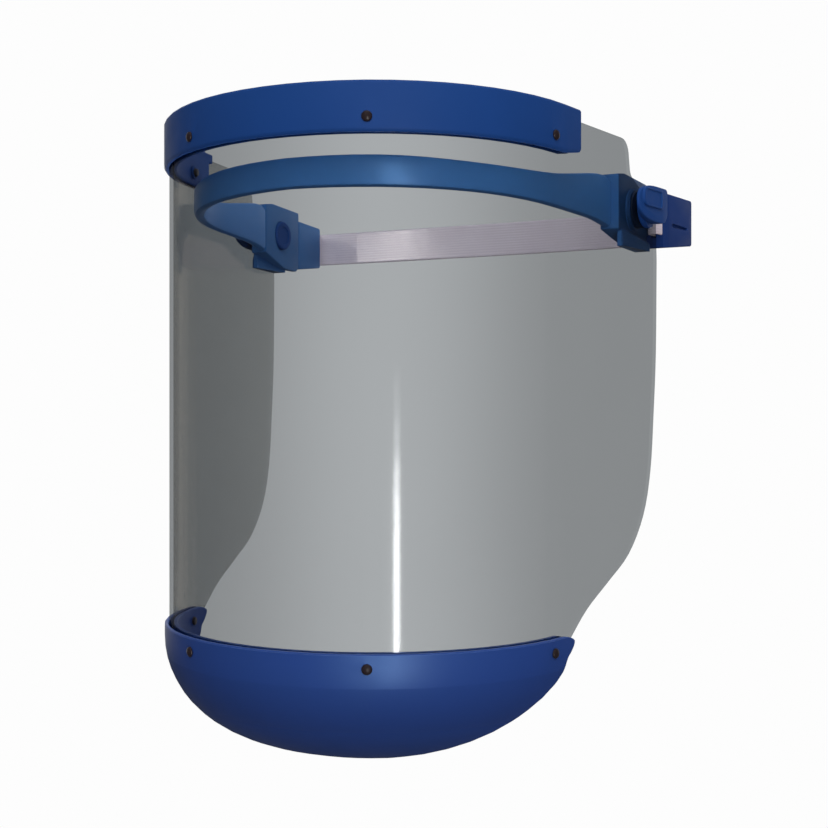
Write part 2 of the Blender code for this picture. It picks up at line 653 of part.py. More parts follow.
def strap_block(side, look):
    """Hollow end piece: the bracket's tail laps into it and the strap passes through it."""
    name = "strap_block_" + SIDES[side]
    outline = rounded([(BLOCK_FRONT, BLOCK_TOP, 1), (BLOCK_REAR, BLOCK_TOP, 1.5),
                       (BLOCK_REAR, BLOCK_REAR_BOTTOM, 1.5), (BLOCK_FRONT, BLOCK_FRONT_BOTTOM, 1)],
                      math.radians(45))
    inner, outer = flared(ARM_INNER), flared(ARM_INNER - BLOCK_THICKNESS)
    block = finish(name, side_prism(outline, inner, outer, side), look)
    soften(block, 0.6)
    lap = side_prism(lap_outline(BLOCK_FRONT - 2, GAP), flared(LAP_INSET + GAP),
                     flared(LAP_INSET - LAP_THICKNESS - GAP), side)
    cut(block, finish(name + "_lap", lap))
    length, depth = BLOCK_CHAMFER
    strip = [(BLOCK_FRONT - 2, 30), (BLOCK_FRONT + length, 30), (BLOCK_FRONT + length, -30),
             (BLOCK_FRONT - 2, -30)]
    outer_inset = ARM_INNER - BLOCK_THICKNESS

    def slope(y):
        return side_x(y, outer_inset) - depth * (BLOCK_FRONT + length - y) / length

    cut(block, finish(name + "_chamfer", side_prism(strip, slope, level(2 * BEND_RADIUS), side)))
    high = STRAP_CENTRE + STRAP_HEIGHT / 2 + SLOT_CLEARANCE
    low = STRAP_CENTRE - STRAP_HEIGHT / 2 - SLOT_CLEARANCE
    slot = [(BLOCK_FRONT - 2, high), (BLOCK_REAR + 2, high), (BLOCK_REAR + 2, low), (BLOCK_FRONT - 2, low)]
    middle = ARM_INNER - SLOT_OFFSET
    cut(block, finish(name + "_slot", side_prism(slot, flared(middle + SLOT_WIDTH / 2),
                                                 flared(middle - SLOT_WIDTH / 2), side)))
    groove = rounded([(BLOCK_FRONT + 9, -5.4, 0.8), (BLOCK_REAR - 6, -4.8, 0.5),
                      (BLOCK_REAR - 6, -3.5, 0.5), (BLOCK_FRONT + 9, -3.1, 0.8)], math.radians(45))
    cut(block, finish(name + "_groove", side_prism(groove, flared(outer_inset + 1.6),
                                                   flared(outer_inset - 2), side)))
    x, y = pin_place(side)
    hole = turned([(0, -40), (PIN_DIAMETER / 2 + GAP, -40), (PIN_DIAMETER / 2 + GAP, 40), (0, 40)], 16)
    bmesh.ops.translate(hole, vec=(x, y, 0), verts=hole.verts)
    cut(block, finish(name + "_pin_hole", hole))
    return block


def pin_place(side):
    """Where the strap pin stands, just outside the strap."""
    y = BLOCK_REAR - 12.0
    inset = ARM_INNER - SLOT_OFFSET - STRAP_THICKNESS / 2 - GAP - PIN_DIAMETER / 2
    return side * side_x(y, inset), y


def strap_pin(side, look):
    x, y = pin_place(side)
    r = PIN_DIAMETER / 2
    high, low = BLOCK_TOP - 0.8, BLOCK_REAR_BOTTOM - 0.4
    pin = turned([(0, low), (r - 0.3, low), (r, low + 0.3), (r, high - 0.3), (r - 0.3, high), (0, high)], 16)
    bmesh.ops.translate(pin, vec=(x, y, 0), verts=pin.verts)
    return finish("strap_pin_" + SIDES[side], pin, look)


def strap_path():
    """Middle line of the strap: each end is folded back outside the block's front, as a stop."""
    inset, y = ARM_INNER - SLOT_OFFSET, STRAP_FRONT + HEM_RADIUS
    out, back = Vector((math.cos(FLARE), -math.sin(FLARE))), Vector((math.sin(FLARE), math.cos(FLARE)))
    fold = Vector((side_x(y, inset), y)) + out * HEM_RADIUS
    right = [fold + out * HEM_RADIUS + back * (BLOCK_FRONT - 2 * GAP - y)]
    for i in range(9):
        a = math.pi * i / 8
        right.append(fold + (out * math.cos(a) - back * math.sin(a)) * HEM_RADIUS)
    corner = Vector((side_x(BLOCK_REAR + 0.5, inset), BLOCK_REAR + 0.5))
    right.append(corner)
    turn = math.pi / 2 + FLARE
    centre = corner + Vector((-math.cos(FLARE), math.sin(FLARE))) * STRAP_BEND
    for i in range(1, 9):
        a = turn * i / 8 - FLARE
        right.append((centre.x + STRAP_BEND * math.cos(a), centre.y + STRAP_BEND * math.sin(a)))
    return [Vector(p) for p in right] + [Vector((-x, y)) for x, y in reversed(right)]


def head_strap(look):
    """Flat elastic between the blocks, turned into each one."""
    path = strap_path()
    rings = []
    half = STRAP_HEIGHT / 2
    for before, here, after in zip(path[:1] + path, path, path[1:] + path[-1:]):
        along = (after - before).normalized()
        out = Vector((along.y, -along.x)) * STRAP_THICKNESS / 2
        rings.append([(here.x + out.x, here.y + out.y, STRAP_CENTRE - half),
                      (here.x + out.x, here.y + out.y, STRAP_CENTRE + half),
                      (here.x - out.x, here.y - out.y, STRAP_CENTRE + half),
                      (here.x - out.x, here.y - out.y, STRAP_CENTRE - half)])
    return finish("head_strap", loft(rings), look)


# ---------------------------------------------------------------- pivot hardware

def pivot_stud(side, look):
    """Round head inside the bracket, shaft out through the ear into the knob."""
    r, shaft, tip = STUD_HEAD / 2, STUD_DIAMETER / 2, TIP_DIAMETER / 2
    face, seat, end = STUD_HEAD_FACE, STUD_HEAD_FACE + STUD_HEAD_THICKNESS, KNOB_FACE + TIP_LENGTH
    profile = [(0, face + 0.5), (r - 3.0, face + 0.5), (r - 3.0, face), (r - 0.6, face), (r, face + 0.6),
               (r, seat), (shaft, seat), (shaft, KNOB_FACE), (tip, KNOB_FACE), (tip, end - 0.5),
               (tip - 0.5, end), (0, end)]
    return finish("pivot_stud_" + SIDES[side], on_axis(turned(profile, 28), side), look)


def friction_washer(side, look):
    """Thin ring in the knob's underside, bearing on the outer wedge washer."""
    r, bore = FRICTION_WASHER / 2, STUD_HOLE / 2
    high = KNOB_FACE + FRICTION_THICKNESS
    profile = [(bore, KNOB_FACE), (r, KNOB_FACE), (r, high), (bore, high)]
    return finish("friction_washer_" + SIDES[side], on_axis(turned(profile), side), look)


def knob_outline():
    """Side view of a knob: a blunt lever to the front, a square upper corner at the heel."""
    middle, half = (KNOB_TOP + KNOB_BOTTOM) / 2, (KNOB_TOP - KNOB_BOTTOM) / 2
    outline = []
    for i in range(1, 16):
        a = math.pi * i / 16
        outline.append((-KNOB_REACH * math.sin(a) ** (2 / KNOB_EXPONENT),
                        middle + math.copysign(half * abs(math.cos(a)) ** (2 / KNOB_EXPONENT), math.cos(a))))
    heel = rounded([(0, KNOB_BOTTOM, 0), (KNOB_HEEL, KNOB_BOTTOM, 7), (KNOB_HEEL, KNOB_TOP, 2.5),
                    (0, KNOB_TOP, 0)], math.radians(15))
    return outline + [(p.x, p.y) for p in heel]


def pivot_knob(side, look):
    """Lever knob whose outer face lies parallel to the sheet and carries a dished pad."""
    name = "pivot_knob_" + SIDES[side]
    tip = side_x(-KNOB_REACH, 0.0)

    def face(rise):
        return lambda y: side_x(y, 0.0) - tip + KNOB_FACE + KNOB_EDGE + rise

    knob = finish(name, side_prism(knob_outline(), level(KNOB_FACE), face(0.0), side), look)
    soften(knob, 0.5)
    pad = rounded([(PAD_FRONT, PAD_TOP, 4), (PAD_FRONT, PAD_BOTTOM, 4), (PAD_REAR, PAD_BOTTOM, 2),
                   (PAD_REAR, PAD_TOP, 2)], math.radians(18))
    raised = finish(name + "_pad", side_prism(pad, face(-0.6), face(PAD_RISE), side))
    soften(raised, 0.35)
    join(knob, raised)
    middle = Vector(((PAD_FRONT + PAD_REAR) / 2, (PAD_TOP + PAD_BOTTOM) / 2))
    dish = [middle + (p - middle) * DISH_SHARE for p in pad]
    cut(knob, finish(name + "_dish", side_prism(dish, face(PAD_RISE - 0.4), face(4.0), side)))
    recess = KNOB_FACE + FRICTION_THICKNESS + GAP
    cut(knob, finish(name + "_recess", rod(FRICTION_WASHER + 2 * GAP, KNOB_FACE - 2, recess, side)))
    cut(knob, finish(name + "_bore", rod(TIP_HOLE, KNOB_FACE - 2, KNOB_FACE + TIP_LENGTH + GAP, side)))
    return knob


# ---------------------------------------------------------------- assembly

SIDES = {1: "left", -1: "right"}


def clear_scene():
    for old in list(bpy.data.objects):
        bpy.data.objects.remove(old, do_unlink=True)


def axis_empty(name):
    """Marks a joint axis; every moving piece hangs from one."""
    empty = bpy.data.objects.new(name, None)
    empty.empty_display_size = 0.02
    bpy.context.scene.collection.objects.link(empty)
    return empty


def main():
    clear_scene()
    tint = material("tinted_polycarbonate", (0.42, 0.44, 0.45), 0.08)
    blue = material("blue_nylon", (0.016, 0.055, 0.24), 0.42)
    dark = material("dark_nylon", (0.035, 0.025, 0.03), 0.5)
    steel = material("zinc_steel", (0.55, 0.55, 0.56), 0.35, 1.0)
    acetal = material("natural_acetal", (0.75, 0.75, 0.72), 0.45)
    elastic = material("elastic_webbing", (0.6, 0.52, 0.66), 0.85)

    tilting = [visor_window(tint), brow_band(blue), chin_guard(blue)]
    washer = WASHER / 2
    rim = RIVET_HOLE / 2
    over = INNER_LIP - BROW_LIP - GAP
    under = over - WASHER_THICKNESS
    ring = [(rim, under), (washer, under), (washer, over), (rim, over)]
    tilting += fastener_row("brow_washer", ring, BROW_RIVETS, dark)
    tilting += fastener_row("brow_rivet", rivet(GAP + BROW_WALL, under), BROW_RIVETS, dark)
    tilting += fastener_row("chin_rivet", rivet(GAP + CHIN_WALL, INNER_LIP - CHIN_LIP), CHIN_RIVETS, dark)
    carrier_bow(blue)
    head_strap(elastic)
    for side, word in SIDES.items():
        pivot_bracket(side, blue)
        strap_block(side, blue)
        strap_pin(side, steel)
        pivot_stud(side, blue)
        friction_washer(side, steel)
        hub = wedge("inner_hub_" + word, level(HUB_FACE), flared(SHEET + GAP), HUB_DIAMETER, acetal, side)
        outer = wedge("outer_washer_" + word, flared(-GAP), level(WEDGE_FACE), HUB_DIAMETER, blue, side)
        tilting += [hub, outer]
        pivot_knob(side, blue).parent = axis_empty("knob_axis_" + word)
    axis = axis_empty("tilt_axis")
    for piece in tilting:
        piece.parent = axis


main()
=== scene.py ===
# %% [markdown]
# # A face shield, dressed for the camera
# The CAD model arrives as a fixed frame: every rigid piece already has its shape, its
# size and its place, in metres, with -Y at the front and +Z up. This script adds what
# CAD leaves out, which is the finish of each material, the woven strap, the room and
# the light. The box round the CAD model is kept first, and the floor is set below it.

# %% Load the frame
import math

import bmesh
import bpy
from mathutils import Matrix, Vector


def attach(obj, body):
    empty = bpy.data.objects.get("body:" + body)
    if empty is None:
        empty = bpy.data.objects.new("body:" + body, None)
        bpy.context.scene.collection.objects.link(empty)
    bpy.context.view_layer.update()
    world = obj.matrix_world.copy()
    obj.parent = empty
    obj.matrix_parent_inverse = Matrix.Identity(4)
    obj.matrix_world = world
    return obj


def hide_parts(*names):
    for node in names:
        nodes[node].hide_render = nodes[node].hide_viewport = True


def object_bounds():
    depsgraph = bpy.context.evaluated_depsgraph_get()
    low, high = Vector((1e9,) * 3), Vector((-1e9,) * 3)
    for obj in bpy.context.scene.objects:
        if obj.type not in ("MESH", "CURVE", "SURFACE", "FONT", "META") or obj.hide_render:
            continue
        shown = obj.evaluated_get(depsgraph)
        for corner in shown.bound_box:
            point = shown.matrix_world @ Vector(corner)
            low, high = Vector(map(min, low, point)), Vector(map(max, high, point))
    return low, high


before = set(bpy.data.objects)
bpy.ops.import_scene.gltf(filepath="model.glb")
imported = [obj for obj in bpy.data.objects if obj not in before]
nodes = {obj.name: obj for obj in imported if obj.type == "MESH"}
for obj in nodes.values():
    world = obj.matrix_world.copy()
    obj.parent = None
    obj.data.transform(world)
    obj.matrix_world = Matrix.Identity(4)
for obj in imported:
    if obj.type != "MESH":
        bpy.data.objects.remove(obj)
cad_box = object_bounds()
MM = 0.001

# %% [markdown]
# ## Four small helpers
# Colours are easiest to choose as sRGB hex values, but shaders work in linear light, so
# one function turns the first into the second. Another adds a node, sets its options and
# joins its inputs in one line, which keeps each material short enough to read as a
# recipe. The third starts an empty material, and the last turns the real size of a
# pattern into the scale that a texture node asks for.

# %% Helpers
def linear(hex_colour):
    """sRGB hex to linear RGBA."""
    def one(channel):
        return channel / 12.92 if channel <= 0.04045 else ((channel + 0.055) / 1.055) ** 2.4

    return tuple(one(int(hex_colour[i:i + 2], 16) / 255) for i in (0, 2, 4)) + (1.0,)


def add(tree, kind, inputs=None, **options):
    """Add a node; a short kind such as "Math" is a shader node, any other has its full name.

    An input is given a node, whose first output it joins, or a socket, or a value to hold.
    """
    node = tree.nodes.new(kind if "Node" in kind else "ShaderNode" + kind)
    for name, value in options.items():
        setattr(node, name, value)
    for name, value in (inputs or {}).items():
        if isinstance(value, bpy.types.Node):
            value = value.outputs[0]
        if isinstance(value, bpy.types.NodeSocket):
            tree.links.new(value, node.inputs[name])
        else:
            node.inputs[name].default_value = value
    return node


def start_material(name):
    """A new material, its empty node tree, and the piece's own coordinates in metres."""
    made = bpy.data.materials.new(name)
    made.use_nodes = True
    made.node_tree.nodes.clear()
    place = add(made.node_tree, "TexCoord").outputs["Object"]
    return made, made.node_tree, place


def per_mm(size):
    """Texture scale that gives a pattern of this size in millimetres."""
    return 1 / (size * MM)


print("white in linear light:", linear("FFFFFF"))

# %% [markdown]
# ## Round surfaces that look round
# An imported mesh arrives as loose triangles, each with its own flat look, so a bent sheet
# would show its facets. The mesh itself has to stay as it came, but a modifier may dress
# it. This small node group welds the triangles for display, smooths the shading across
# gentle edges and keeps it crisp where two faces meet at more than 32 degrees.

# %% Smooth display modifier
CRISP_ANGLE = math.radians(32)
WELD_WITHIN = 0.004 * MM

smoother = bpy.data.node_groups.new("weld_and_smooth", "GeometryNodeTree")
for direction in ("INPUT", "OUTPUT"):
    smoother.interface.new_socket("Geometry", in_out=direction,
                                  socket_type="NodeSocketGeometry")
mesh_in = add(smoother, "NodeGroupInput")
bare = add(smoother, "GeometryNodeRemoveAttribute",
           {"Geometry": mesh_in, "Name": "custom_normal"})
welded = add(smoother, "GeometryNodeMergeByDistance",
             {"Geometry": bare, "Distance": WELD_WITHIN})
rounded = add(smoother, "GeometryNodeSetShadeSmooth",
              {"Geometry": welded, "Shade Smooth": True})
fold = add(smoother, "GeometryNodeInputMeshEdgeAngle").outputs["Unsigned Angle"]
crisp = add(smoother, "FunctionNodeCompare", {0: fold, 1: CRISP_ANGLE},
            operation="GREATER_THAN")
creased = add(smoother, "GeometryNodeSetShadeSmooth",
              {"Geometry": rounded, "Selection": crisp, "Shade Smooth": False},
              domain="EDGE")
add(smoother, "NodeGroupOutput", {0: creased})

for node in nodes.values():
    node.modifiers.new("weld_and_smooth", "NODES").node_group = smoother
print("smoothed for display:", len(nodes))

# %% [markdown]
# ## The camera
# A long lens from about 0.75 m, level with the middle of the window and turned 27 degrees
# towards the wearer's left. The place and the direction are in the same frame as the
# object, so they never need fitting: the camera looks level, along one direction.

# %% Camera
CAMERA_PLACE = Vector((0.3240, -0.6716, -0.1085))
CAMERA_LOOKS = Vector((-0.4520, 0.8920, 0.0))
LENS, SENSOR = 56.66, 36.0    # in millimetres

camera_data = bpy.data.cameras.new("camera")
camera_data.lens = LENS
camera_data.sensor_width = SENSOR
camera = bpy.data.objects.new("camera", camera_data)
camera.location = CAMERA_PLACE
camera.rotation_euler = CAMERA_LOOKS.to_track_quat("-Z", "Y").to_euler()
bpy.context.scene.collection.objects.link(camera)
bpy.context.scene.camera = camera
bpy.context.scene.view_settings.view_transform = "Standard"
print("camera", tuple(round(v, 3) for v in camera.location), "lens", camera_data.lens)

# %% [markdown]
# ## The room
# The shield is worn on a helmet, so here it floats above a pale floor, as on an unseen
# head form. A see-through window needs a white room behind it, or its tint can't be
# judged, but a room that is white all round would light the object too much and fill
# every glossy face with white. So the world answers each kind of ray on its own. Mirror
# rays meet a white backdrop behind the shield and a dim studio round the rest. The
# backdrop ends just below the horizon, or the undersides would shine like its mirror
# image.

# %% Backdrop for mirrors
BACKDROP_WAY = CAMERA_LOOKS   # the white backdrop stands behind the shield
BACKDROP_EDGE = (0.60, 0.84)               # cosines from that way: it fades in between them
BACKDROP_FOOT = (-0.24, -0.15)             # and heights: it fades in between these too
DIM_STUDIO = 0.10             # what mirror rays meet round the backdrop

world = bpy.data.worlds.new("white_room")
bpy.context.scene.world = world
world.use_nodes = True
sky = world.node_tree
sky.nodes.clear()
way = add(sky, "TexCoord").outputs["Generated"]
facing_it = add(sky, "VectorMath", {0: way, 1: BACKDROP_WAY}, operation="DOT_PRODUCT")
behind = add(sky, "MapRange", {"Value": facing_it.outputs["Value"],
                               "From Min": BACKDROP_EDGE[0], "From Max": BACKDROP_EDGE[1],
                               "To Min": DIM_STUDIO, "To Max": 1.0},
             interpolation_type="SMOOTHSTEP")
upright = add(sky, "SeparateXYZ", {0: way}).outputs["Z"]
above = add(sky, "MapRange", {"Value": upright,
                              "From Min": BACKDROP_FOOT[0], "From Max": BACKDROP_FOOT[1],
                              "To Min": DIM_STUDIO, "To Max": 1.0})
mirrored = add(sky, "Math", {0: behind, 1: above}, operation="MINIMUM")
print("dim studio", DIM_STUDIO)

# %% [markdown]
# A catalogue picture is cut out on plain white, while its tinted window still shows the
# light grey paper of the studio, brighter where a lamp stands behind the paper. Light
# Path's Transparent Depth tells which rays have come through the window: it is 0 for a
# ray that meets the room at once, and every face of the window adds 1.

# %% Paper behind the window
STUDIO_PAPER, PAPER_HOT = 0.605, 0.77      # plain paper, and where the lamp is
HOT_WAY = (-0.4721, 0.8815, 0.0)           # towards that lamp
HOT_HALF = math.radians(7.0)               # half width of its glow
GLOW_FALL = 2.0               # the power that its brightness falls with

level_way = add(sky, "VectorMath", {0: way, 1: (1, 1, 0)}, operation="MULTIPLY")
level_way = add(sky, "VectorMath", {0: level_way}, operation="NORMALIZE")
near_hot = add(sky, "VectorMath", {0: level_way, 1: HOT_WAY}, operation="DOT_PRODUCT")
glow = add(sky, "MapRange", {"Value": near_hot.outputs["Value"],
                             "From Min": math.cos(HOT_HALF), "From Max": 1.0})
glow = add(sky, "Math", {0: glow, 1: GLOW_FALL}, operation="POWER")
grey = add(sky, "MapRange", {"Value": glow, "To Min": STUDIO_PAPER, "To Max": PAPER_HOT})
rays = add(sky, "LightPath").outputs
paper = add(sky, "MapRange", {"Value": rays["Transparent Depth"],
                              "To Min": 1.0, "To Max": grey})
print("paper", STUDIO_PAPER, "to", PAPER_HOT)

# %% [markdown]
# What is left is to choose between the answers. The camera and rays that pass through
# glass see the paper or plain white, mirror rays the backdrop, and diffuse rays a soft
# grey sky that fills the shadows a little.

# %% World by kind of ray
SKY_ON_SURFACES = 0.27        # what diffuse rays meet

seen = add(sky, "Math", {0: rays["Is Camera Ray"], 1: rays["Is Transmission Ray"]},
           operation="MAXIMUM")
unlit = add(sky, "Mix", {0: rays["Is Glossy Ray"], 2: SKY_ON_SURFACES, 3: mirrored})
level = add(sky, "Mix", {0: seen, 2: unlit, 3: paper})
backdrop = add(sky, "Background", {"Color": linear("FDFDFD"), "Strength": level})
add(sky, "OutputWorld", {"Surface": backdrop})
print("sky on surfaces", SKY_ON_SURFACES)

# %% [markdown]
# The floor is a wide disc well below the shield, at the height where it would be if the
# helmet stood on a tall stand. It is a stage piece, which isn't part of the object.

# %% Floor
FLOOR_DROP = 0.60
FLOOR_RADIUS = 9.0

bm = bmesh.new()
bmesh.ops.create_circle(bm, cap_ends=True, segments=96, radius=FLOOR_RADIUS)
bmesh.ops.translate(bm, vec=(0, 0, cad_box[0][2] - FLOOR_DROP), verts=bm.verts)
floor_mesh = bpy.data.meshes.new("floor")
bm.to_mesh(floor_mesh)
bm.free()
floor = bpy.data.objects.new("floor", floor_mesh)
bpy.context.scene.collection.objects.link(floor)
print("floor at", round(cad_box[0][2] - FLOOR_DROP, 3))

# %% [markdown]
# Under the shield the floor is pale emulsion paint, rolled on and dead matt, so it gives
# the eye nothing but a soft shadow. A little light is added, so that it is near white.
# Further out it turns into the plain white of the room, so that there is no horizon. To
# diffuse rays it is dark, so that it throws little light back up and the undersides stay
# dark. Mirror rays, and rays that have come through the window, pass it and meet the
# room.

# %% Floor paint
SHADOW_RADIUS = 0.85          # where the paint has turned to plain white
SHADOW_CORE = 0.45            # the share of that radius which stays plain paint
FLOOR_FILL = 0.34             # light added to the paint

made, tree, place = start_material("floor_matt_paint")
paint = add(tree, "BsdfDiffuse", {"Color": linear("F2F2F2")})
fill = add(tree, "Emission", {"Color": linear("FFFFFF"), "Strength": FLOOR_FILL})
near = add(tree, "AddShader", {0: paint, 1: fill})
far = add(tree, "Emission", {"Color": linear("FDFDFD"), "Strength": 1.0})
flat_place = add(tree, "VectorMath", {0: place, 1: (1, 1, 0)}, operation="MULTIPLY")
away = add(tree, "VectorMath", {0: flat_place}, operation="LENGTH")
fade = add(tree, "MapRange", {"Value": away.outputs["Value"],
                              "From Min": SHADOW_RADIUS * SHADOW_CORE,
                              "From Max": SHADOW_RADIUS}, interpolation_type="SMOOTHSTEP")
near_white = add(tree, "MixShader", {0: fade, 1: near, 2: far})
dark_paint = add(tree, "BsdfDiffuse", {"Color": linear("7A6C68")})
gone = add(tree, "BsdfTransparent", {"Color": linear("FFFFFF")})
rays = add(tree, "LightPath").outputs
through = add(tree, "Math", {0: rays["Transparent Depth"], 1: 0.5}, operation="GREATER_THAN")
shown = add(tree, "Math", {0: rays["Is Camera Ray"], 1: rays["Is Transmission Ray"]},
            operation="MAXIMUM")
choice = add(tree, "MixShader", {0: through, 1: near_white, 2: gone})
choice = add(tree, "MixShader", {0: shown, 1: dark_paint, 2: choice})
choice = add(tree, "MixShader", {0: rays["Is Glossy Ray"], 1: choice, 2: gone})
add(tree, "OutputMaterial", {"Surface": choice})
floor_mesh.materials.append(made)
print("shadow within", SHADOW_RADIUS)

# %% [markdown]
# ## The lights
# A very large soft lamp stands beside the camera and well above it, so the front is lit
# evenly and the undersides fall off. Another behind the shield lights the insides and the
# back, and one overhead lifts the upper faces. Lamps aren't shown to the camera, only
# what they light, and the two big ones aren't mirrored either, because their square
# images would lie across the window.

# %% Soft lamps
MIDDLE = Vector((0.0, -0.08, -0.11))


def lamp(name, place, target, size, radiance):
    """Rectangular lamp with the same brightness per area however large it is made."""
    data = bpy.data.lights.new(name, "AREA")
    data.shape = "RECTANGLE"
    data.size, data.size_y = size
    data.energy = radiance * math.pi * size[0] * size[1]
    made = bpy.data.objects.new(name, data)
    made.location = place
    made.rotation_euler = (Vector(target) - Vector(place)).to_track_quat("-Z", "Y").to_euler()
    made.visible_camera = False
    bpy.context.scene.collection.objects.link(made)
    return made


def around(angle, distance, height):
    """Point at an angle in degrees from +X, measured from the middle of the shield."""
    turn = math.radians(angle)
    return Vector((math.cos(turn) * distance, math.sin(turn) * distance + MIDDLE.y, height))


front = lamp("front_softbox", around(-62, 1.6, 0.95), MIDDLE, (1.7, 1.5), 2.55)
rear = lamp("rear_softbox", around(78, 1.5, 0.25), MIDDLE, (1.2, 1.4), 2.7)
lamp("overhead", (0.15, -0.25, 1.5), MIDDLE, (1.4, 1.4), 0.7)
for soft_lamp in (front, rear):
    soft_lamp.visible_glossy = False
print("soft lamps:", front.name, rear.name)

# %% [markdown]
# A tall narrow strip of light stands beside the camera: on a bent sheet it mirrors as one
# thin bright line, which is what tells the eye that the window is smooth, hard and
# curved. It is made of five lengths, each dimmer than the one below it, so that the line
# fades out upwards.

# %% Strip lamps
STRIP_SPOT = (0.058, -0.163)               # where the bright line lies on the sheet
STRIP_STANDS = (0.780, -1.121)
STRIP_WIDTH = 0.066
STRIPS = (                                 # height of the middle, length, radiance
    (-0.525, 0.51, 39.0),
    (-0.2425, 0.055, 33.0),
    (-0.1925, 0.045, 20.0),
    (-0.1425, 0.055, 7.0),
    (-0.0875, 0.055, 2.4),
)

for i, (height, length, radiance) in enumerate(STRIPS):
    lamp(f"strip_{i + 1}", (*STRIP_STANDS, height), (*STRIP_SPOT, height),
         (STRIP_WIDTH, length), radiance)
print("strip lamps:", len(STRIPS))

# %% [markdown]
# Some lamps are meant for one piece only, which light linking gives: a lamp shines on the
# pieces in its own collection and leaves the rest alone. A narrow cool lamp is mirrored
# in the bow and the guard as one soft upright highlight, the mark of satin plastic. It
# adds no light, only that mirror image. A white card inside the shield throws light up at
# the underside of the brow band, which would be nearly black without it.

# %% Lamps for single pieces
def shine_only_on(made, pieces):
    """Link a lamp to these pieces, through a collection of its own."""
    only = bpy.data.collections.new(made.name + "_pieces")
    for piece in pieces:
        only.objects.link(piece)
    made.light_linking.receiver_collection = only
    return only


def glint(name, place, target, size, radiance, colour, pieces):
    """A narrow lamp that only shows as its mirror image in these pieces."""
    made = lamp(name, place, target, size, radiance)
    made.data.color = linear(colour)[:3]
    made.visible_diffuse = False
    return made, shine_only_on(made, pieces)


glint("satin_glint", (0.65, -1.13, -0.20), (0.017, -0.087, -0.20), (0.05, 1.3), 300.0,
      "91C6FF", [nodes["carrier_bow"], nodes["chin_guard"]])
card = lamp("band_bounce", (0.0, -0.04, -0.17), (0.0, -0.12, 0.0), (0.16, 0.10), 6.0)
card.visible_glossy = False
shine_only_on(card, [nodes["brow_band"]])
print("lamps:", len(bpy.data.lights))

# %% [markdown]
# ## The window: extruded polycarbonate, tinted through
# The sheet is about 2 mm of grey-tinted polycarbonate, polished by the extruder's rolls.
# Glass shaders bend every ray twice, which is slow and noisy in a thin sheet and adds
# little that the eye can see. Mixing a Transparent shader with a faint Glossy one is
# plainer: each of the two faces passes the square root of what the whole sheet passes.
# A slanting ray crosses more plastic, so the tint deepens with the angle, which Layer
# Weight gives. What it gives the eye is a smoky window that darkens towards its turned
# sides.

# %% Window tint
SHEET_PASSES = 0.545          # of white light, straight through both faces
PATH_INDEX = 1.30             # how fast a slanting ray's path grows
RED_PASSES, BLUE_PASSES = 0.975, 1.014     # beside green: a hair cooler than neutral grey
TINT_DRIFT = 0.01             # no two areas of a sheet are quite equal

made, tree, place = start_material("polycarbonate_extruded_grey")
facing = add(tree, "LayerWeight", {"Blend": 0.5}).outputs["Facing"]
cosine = add(tree, "Math", {0: 1.0, 1: facing}, operation="SUBTRACT")
square = add(tree, "Math", {0: cosine, 1: cosine}, operation="MULTIPLY")
# the cosine inside the sheet is sqrt(1 - (1 - cos^2) / n^2)
inside = add(tree, "MapRange", {"Value": square, "To Min": 1 - 1 / PATH_INDEX ** 2,
                                "To Max": 1.0})
inside = add(tree, "Math", {0: inside, 1: -0.5}, operation="POWER")
deeper = add(tree, "Math", {0: SHEET_PASSES ** 0.5, 1: inside}, operation="POWER")
waves = add(tree, "TexNoise", {"Vector": place, "Scale": per_mm(70), "Detail": 1.0})
drift = add(tree, "MapRange", {"Value": waves.outputs["Fac"],
                               "To Min": 1 - TINT_DRIFT, "To Max": 1 + TINT_DRIFT})
tone = add(tree, "Math", {0: deeper, 1: drift}, operation="MULTIPLY")
warm = add(tree, "Math", {0: tone, 1: RED_PASSES}, operation="MULTIPLY")
cool = add(tree, "Math", {0: tone, 1: BLUE_PASSES}, operation="MULTIPLY")
tint = add(tree, "CombineColor", {"Red": warm, "Green": tone, "Blue": cool})
pass_on = add(tree, "BsdfTransparent", {"Color": tint.outputs[0]})
print("each face passes", round(SHEET_PASSES ** 0.5, 3))

# %% [markdown]
# Only the outer face carries a hard coat, and the hollow side is bare plastic, so the two
# faces mirror differently. Which one a ray meets follows from the surface's own
# direction and its place round the bend: on the hollow side it looks back towards the
# middle of the bend. A ray that is inside the plastic meets the outer face from behind,
# and that isn't counted as the hollow side.

# %% Round side or hollow side
BEND_AXIS = (0.0, -0.0717, 0.0)            # middle of the front bend, seen from above

outwards = add(tree, "VectorMath", {0: place, 1: BEND_AXIS}, operation="SUBTRACT")
outwards = add(tree, "VectorMath", {0: outwards, 1: (1, 1, 0)}, operation="MULTIPLY")
normal = add(tree, "TexCoord").outputs["Normal"]
turned_to = add(tree, "VectorMath", {0: normal, 1: outwards}, operation="DOT_PRODUCT")
in_plastic = add(tree, "NewGeometry").outputs["Backfacing"]
hollow = add(tree, "Math", {0: turned_to.outputs["Value"], 1: 0.0}, operation="LESS_THAN")
hollow = add(tree, "Math", {0: hollow, 1: in_plastic}, operation="SUBTRACT", use_clamp=True)
print("bend round", BEND_AXIS)

# %% [markdown]
# The hard coat quietens the reflection of the round side, which is crisp and white. Bare
# plastic mirrors far more at a slant, a little blurred and warm, so the far side of the
# window looks lighter from within.

# %% Window reflections
ROUND_MIRRORS = (0.014, 0.02)              # head on, and at a slant
HOLLOW_MIRRORS = (0.05, 0.225)
STEEP_POWER = 3.0             # how late the mirror wakes as the sheet turns away
HOLLOW_STEEP = 0.45           # the hollow side is at its brightest from here on
ROUND_BLUR, HOLLOW_BLUR = 0.085, 0.15      # roughness

